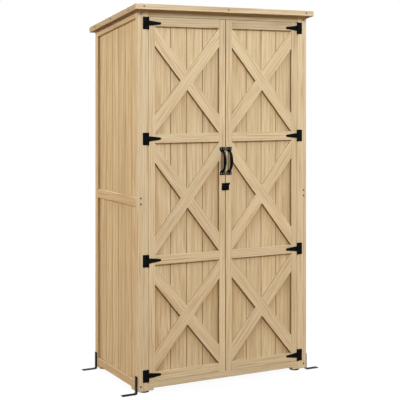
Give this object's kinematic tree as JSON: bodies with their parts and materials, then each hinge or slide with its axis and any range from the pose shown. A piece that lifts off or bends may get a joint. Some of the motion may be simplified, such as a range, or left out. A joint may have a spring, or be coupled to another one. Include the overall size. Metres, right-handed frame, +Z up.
{
  "type": "garden storage cabinet",
  "caption": "Tall timber garden cabinet with two cross-braced boarded doors, strap hinges, pull handles, a sliding bolt, inner shelves and a lean-to roof.",
  "frame": {"origin": "on the ground, in the middle of the four ground anchor holes", "axes": "+Z up, +X to the right as seen from the doors, +Y to the back"},
  "size_m": [1.043, 0.5687, 1.7494],
  "materials": {
    "frame_timber": "pale fir, planed, satin",
    "board_timber": "fir matching boards, satin",
    "inner_timber": "plain sawn fir",
    "black_iron": "black powder coat, satin",
    "rubber_feet": "matt black rubber",
    "roof_felt": "mineral-faced bitumen felt, matt"
  },
  "bodies": {
    "cabinet": {"foot_pads": "rubber_feet", "foot_blocks": "frame_timber", "ground_brackets": "black_iron", "front_left_post": "frame_timber", "front_right_post": "frame_timber", "rear_left_post": "frame_timber", "rear_right_post": "frame_timber", "front_sill_rail": "frame_timber", "front_header_rail": "frame_timber", "left_side_rails": "frame_timber", "right_side_rails": "frame_timber", "left_side_top_rail": "frame_timber", "right_side_top_rail": "frame_timber", "left_side_boards": "board_timber", "right_side_boards": "board_timber", "back_rails": "frame_timber", "back_top_rail": "frame_timber", "back_boards": "board_timber", "floor_bearers": "inner_timber", "floor_boards": "inner_timber", "lower_shelf": "inner_timber", "middle_shelf": "inner_timber", "upper_shelf": "inner_timber", "shelf_battens": "inner_timber", "left_hinge_plates": "black_iron", "right_hinge_plates": "black_iron", "hinge_pins": "black_iron", "roof_deck": "inner_timber", "roof_front_fascia": "frame_timber", "roof_rear_fascia": "frame_timber", "roof_left_fascia": "frame_timber", "roof_right_fascia": "frame_timber", "roof_felt": "roof_felt", "roof_battens": "inner_timber"},
    "left_door": {"left_door_boards": "board_timber", "left_door_hinge_stile": "frame_timber", "left_door_lock_stile": "frame_timber", "left_door_rails": "frame_timber", "left_door_braces": "frame_timber", "left_door_half_braces": "frame_timber", "left_hinge_straps": "black_iron", "left_handle": "black_iron", "latch_base": "black_iron"},
    "right_door": {"right_door_boards": "board_timber", "right_door_hinge_stile": "frame_timber", "right_door_lock_stile": "frame_timber", "right_door_rails": "frame_timber", "right_door_braces": "frame_timber", "right_door_half_braces": "frame_timber", "right_hinge_straps": "black_iron", "right_handle": "black_iron", "latch_keeper": "black_iron"},
    "latch_bolt": {"latch_bolt": "black_iron"}
  },
  "joints": [
    {"name": "left_door_hinge", "type": "hinge", "parent": "cabinet", "child": "left_door", "pos_m": [-0.39725, -0.2575, 0.8716], "axis": [0, 0, -1], "range_deg": [0, 165]},
    {"name": "right_door_hinge", "type": "hinge", "parent": "cabinet", "child": "right_door", "pos_m": [0.39725, -0.2575, 0.8716], "axis": [0, 0, 1], "range_deg": [0, 165]},
    {"name": "latch_bolt_slide", "type": "slide", "parent": "left_door", "child": "latch_bolt", "axis": [1, 0, 0], "range_m": [0, 0.009]}
  ]
}
